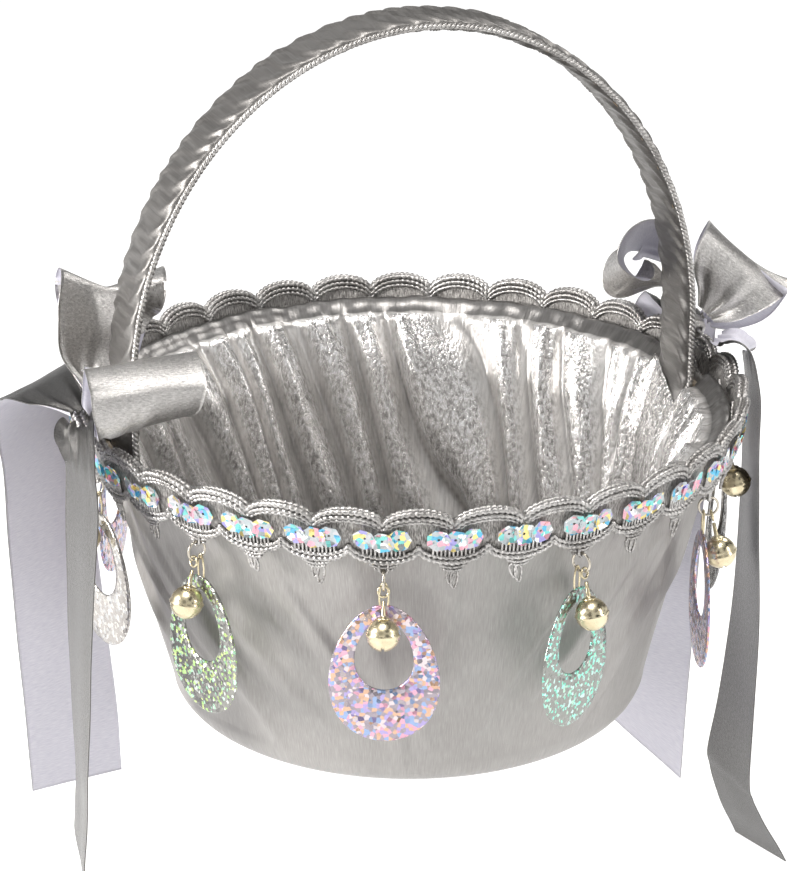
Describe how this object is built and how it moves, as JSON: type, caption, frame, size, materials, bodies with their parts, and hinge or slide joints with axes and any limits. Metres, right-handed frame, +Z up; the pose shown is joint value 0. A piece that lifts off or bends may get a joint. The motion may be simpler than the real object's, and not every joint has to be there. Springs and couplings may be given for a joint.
{
  "type": "flower girl basket",
  "caption": "Round flared basket covered in silver lame with gathered lining, arched wrapped handle, scalloped braid, jingle bell trims and ribbon bows.",
  "frame": {"origin": "centre of the underside of the basket's base", "axes": "+Z up through the handle's arch, -Y towards the front, +X to the right; the handle's plane is turned 22 degrees about +Z from the XZ plane"},
  "size_m": [0.2839, 0.2414, 0.3316],
  "materials": {
    "outer_lame": "silver metallic lame, fine vertical weave, satin metallic sheen",
    "lining_lame": "bright silver tissue lame, crinkled, gathered",
    "ribbon_silver": "silver metallic face of a one-sided ribbon",
    "ribbon_back": "pale lavender-white satin back of the ribbon",
    "metallic_cord": "twisted silver metallic yarn",
    "sequin": "clear hologram sequins",
    "bell_brass": "polished pale champagne gold",
    "ring_metal": "nickel-plated wire",
    "drop_glitter": "hologram glitter plastic",
    "pulp_board": "grey-brown moulded paper pulp",
    "wadding": "white polyester wadding",
    "cane_strip": "split cane strip"
  },
  "bodies": {
    "root": {"base_cover": "outer_lame", "base_board": "pulp_board", "floor_pad": "lining_lame", "outer_cover": "outer_lame", "wall_batting": "wadding", "basket_shell": "pulp_board", "lining": "lining_lame", "handle_core": "cane_strip", "handle_wrap": "outer_lame", "handle_piping": "metallic_cord", "left_leg_rivet_1": "ring_metal", "left_leg_rivet_2": "ring_metal", "right_leg_rivet_1": "ring_metal", "right_leg_rivet_2": "ring_metal", "gimp_braid": "metallic_cord", "sequin_row": "sequin", "left_bow_back_loop": "ribbon_silver", "left_bow_front_loop": "ribbon_silver", "left_bow_back_tail": "ribbon_silver", "left_bow_front_tail": "ribbon_silver", "left_bow_knot": "ribbon_silver", "right_bow_back_loop": "ribbon_silver", "right_bow_front_loop": "ribbon_silver", "right_bow_back_tail": "ribbon_silver", "right_bow_front_tail": "ribbon_silver", "right_bow_knot": "ribbon_silver"},
    "trim_1_ring": {"jump_ring_1": "ring_metal"},
    "trim_1_bell": {"bell_1": "bell_brass"},
    "trim_1_drop": {"drop_1": "drop_glitter"},
    "trim_2_ring": {"jump_ring_2": "ring_metal"},
    "trim_2_bell": {"bell_2": "bell_brass"},
    "trim_2_drop": {"drop_2": "drop_glitter"},
    "trim_3_ring": {"jump_ring_3": "ring_metal"},
    "trim_3_bell": {"bell_3": "bell_brass"},
    "trim_3_drop": {"drop_3": "drop_glitter"},
    "trim_4_ring": {"jump_ring_4": "ring_metal"},
    "trim_4_bell": {"bell_4": "bell_brass"},
    "trim_4_drop": {"drop_4": "drop_glitter"},
    "trim_5_ring": {"jump_ring_5": "ring_metal"},
    "trim_5_bell": {"bell_5": "bell_brass"},
    "trim_5_drop": {"drop_5": "drop_glitter"},
    "trim_6_ring": {"jump_ring_6": "ring_metal"},
    "trim_6_bell": {"bell_6": "bell_brass"},
    "trim_6_drop": {"drop_6": "drop_glitter"},
    "trim_7_ring": {"jump_ring_7": "ring_metal"},
    "trim_7_bell": {"bell_7": "bell_brass"},
    "trim_7_drop": {"drop_7": "drop_glitter"},
    "trim_8_ring": {"jump_ring_8": "ring_metal"},
    "trim_8_bell": {"bell_8": "bell_brass"},
    "trim_8_drop": {"drop_8": "drop_glitter"},
    "trim_9_ring": {"jump_ring_9": "ring_metal"},
    "trim_9_bell": {"bell_9": "bell_brass"},
    "trim_9_drop": {"drop_9": "drop_glitter"},
    "trim_10_ring": {"jump_ring_10": "ring_metal"},
    "trim_10_bell": {"bell_10": "bell_brass"},
    "trim_10_drop": {"drop_10": "drop_glitter"}
  },
  "joints": [
    {"name": "ring_swing_1", "type": "hinge", "parent": "root", "child": "trim_1_ring", "pos_m": [-0.07378, 0.08578, 0.0927], "axis": [0.8599, 0.5105, 0], "range_deg": [-8, 40]},
    {"name": "bell_swing_1", "type": "hinge", "parent": "trim_1_ring", "child": "trim_1_bell", "pos_m": [-0.07441, 0.08684, 0.08764], "axis": [-0.5105, 0.8599, 0], "range_deg": [-25, 25]},
    {"name": "drop_swing_1", "type": "hinge", "parent": "trim_1_ring", "child": "trim_1_drop", "pos_m": [-0.07299, 0.08444, 0.08779], "axis": [-0.5105, 0.8599, 0], "range_deg": [-15, 15]},
    {"name": "ring_swing_2", "type": "hinge", "parent": "root", "child": "trim_2_ring", "pos_m": [-0.109, 0.03033, 0.0927], "axis": [0.2002, 0.9798, 0], "range_deg": [-8, 1]},
    {"name": "bell_swing_2", "type": "hinge", "parent": "trim_2_ring", "child": "trim_2_bell", "pos_m": [-0.11021, 0.03058, 0.08764], "axis": [-0.9798, 0.2002, 0], "range_deg": [-25, 3]},
    {"name": "drop_swing_2", "type": "hinge", "parent": "trim_2_ring", "child": "trim_2_drop", "pos_m": [-0.10748, 0.03002, 0.08779], "axis": [-0.9798, 0.2002, 0], "range_deg": [-15, 3]},
    {"name": "ring_swing_3", "type": "hinge", "parent": "root", "child": "trim_3_ring", "pos_m": [-0.10748, -0.03534, 0.0927], "axis": [-0.5764, 0.8171, 0], "range_deg": [-8, 12]},
    {"name": "bell_swing_3", "type": "hinge", "parent": "trim_3_ring", "child": "trim_3_bell", "pos_m": [-0.10849, -0.03605, 0.08764], "axis": [-0.8171, -0.5764, 0], "range_deg": [-25, 25]},
    {"name": "drop_swing_3", "type": "hinge", "parent": "trim_3_ring", "child": "trim_3_drop", "pos_m": [-0.10622, -0.03445, 0.08779], "axis": [-0.8171, -0.5764, 0], "range_deg": [-15, 15]},
    {"name": "ring_swing_4", "type": "hinge", "parent": "root", "child": "trim_4_ring", "pos_m": [-0.06974, -0.0891, 0.0927], "axis": [-0.6421, 0.7666, 0], "range_deg": [-8, 40]},
    {"name": "bell_swing_4", "type": "hinge", "parent": "trim_4_ring", "child": "trim_4_bell", "pos_m": [-0.07068, -0.08989, 0.08764], "axis": [-0.7666, -0.6421, 0], "range_deg": [-25, 25]},
    {"name": "drop_swing_4", "type": "hinge", "parent": "trim_4_ring", "child": "trim_4_drop", "pos_m": [-0.06855, -0.0881, 0.08779], "axis": [-0.7666, -0.6421, 0], "range_deg": [-15, 15]},
    {"name": "ring_swing_5", "type": "hinge", "parent": "root", "child": "trim_5_ring", "pos_m": [-0.00848, -0.11282, 0.0927], "axis": [-0.9992, 0.0401, 0], "range_deg": [-8, 40]},
    {"name": "bell_swing_5", "type": "hinge", "parent": "trim_5_ring", "child": "trim_5_bell", "pos_m": [-0.00853, -0.11406, 0.08764], "axis": [-0.0401, -0.9992, 0], "range_deg": [-25, 25]},
    {"name": "drop_swing_5", "type": "hinge", "parent": "trim_5_ring", "child": "trim_5_drop", "pos_m": [-0.00842, -0.11127, 0.08779], "axis": [-0.0401, -0.9992, 0], "range_deg": [-15, 15]},
    {"name": "ring_swing_6", "type": "hinge", "parent": "root", "child": "trim_6_ring", "pos_m": [0.05563, -0.09852, 0.0927], "axis": [-0.6095, -0.7928, 0], "range_deg": [-8, 40]},
    {"name": "bell_swing_6", "type": "hinge", "parent": "trim_6_ring", "child": "trim_6_bell", "pos_m": [0.05661, -0.09928, 0.08764], "axis": [0.7928, -0.6095, 0], "range_deg": [-25, 25]},
    {"name": "drop_swing_6", "type": "hinge", "parent": "trim_6_ring", "child": "trim_6_drop", "pos_m": [0.0544, -0.09758, 0.08779], "axis": [0.7928, -0.6095, 0], "range_deg": [-15, 15]},
    {"name": "ring_swing_7", "type": "hinge", "parent": "root", "child": "trim_7_ring", "pos_m": [0.10099, -0.05101, 0.0927], "axis": [0.0906, -0.9959, 0], "range_deg": [-8, 40]},
    {"name": "bell_swing_7", "type": "hinge", "parent": "trim_7_ring", "child": "trim_7_bell", "pos_m": [0.10222, -0.0509, 0.08764], "axis": [0.9959, 0.0906, 0], "range_deg": [-25, 25]},
    {"name": "drop_swing_7", "type": "hinge", "parent": "trim_7_ring", "child": "trim_7_drop", "pos_m": [0.09945, -0.05115, 0.08779], "axis": [0.9959, 0.0906, 0], "range_deg": [-15, 15]},
    {"name": "ring_swing_8", "type": "hinge", "parent": "root", "child": "trim_8_ring", "pos_m": [0.11231, 0.01369, 0.0927], "axis": [-0.2932, -0.956, 0], "range_deg": [-8, 1]},
    {"name": "bell_swing_8", "type": "hinge", "parent": "trim_8_ring", "child": "trim_8_bell", "pos_m": [0.11349, 0.01333, 0.08764], "axis": [0.956, -0.2932, 0], "range_deg": [-25, 6]},
    {"name": "drop_swing_8", "type": "hinge", "parent": "trim_8_ring", "child": "trim_8_drop", "pos_m": [0.11083, 0.01414, 0.08779], "axis": [0.956, -0.2932, 0], "range_deg": [-15, 15]},
    {"name": "ring_swing_9", "type": "hinge", "parent": "root", "child": "trim_9_ring", "pos_m": [0.08578, 0.07378, 0.0927], "axis": [0.7627, -0.6468, 0], "range_deg": [-8, 1]},
    {"name": "bell_swing_9", "type": "hinge", "parent": "trim_9_ring", "child": "trim_9_bell", "pos_m": [0.08658, 0.07472, 0.08764], "axis": [0.6468, 0.7627, 0], "range_deg": [-25, 10]},
    {"name": "drop_swing_9", "type": "hinge", "parent": "trim_9_ring", "child": "trim_9_drop", "pos_m": [0.08477, 0.0726, 0.08779], "axis": [0.6468, 0.7627, 0], "range_deg": [-15, 15]},
    {"name": "ring_swing_10", "type": "hinge", "parent": "root", "child": "trim_10_ring", "pos_m": [0.03033, 0.109, 0.0927], "axis": [0.9167, -0.3995, 0], "range_deg": [-8, 40]},
    {"name": "bell_swing_10", "type": "hinge", "parent": "trim_10_ring", "child": "trim_10_bell", "pos_m": [0.03083, 0.11013, 0.08764], "axis": [0.3995, 0.9167, 0], "range_deg": [-25, 25]},
    {"name": "drop_swing_10", "type": "hinge", "parent": "trim_10_ring", "child": "trim_10_drop", "pos_m": [0.02971, 0.10758, 0.08779], "axis": [0.3995, 0.9167, 0], "range_deg": [-15, 15]}
  ]
}
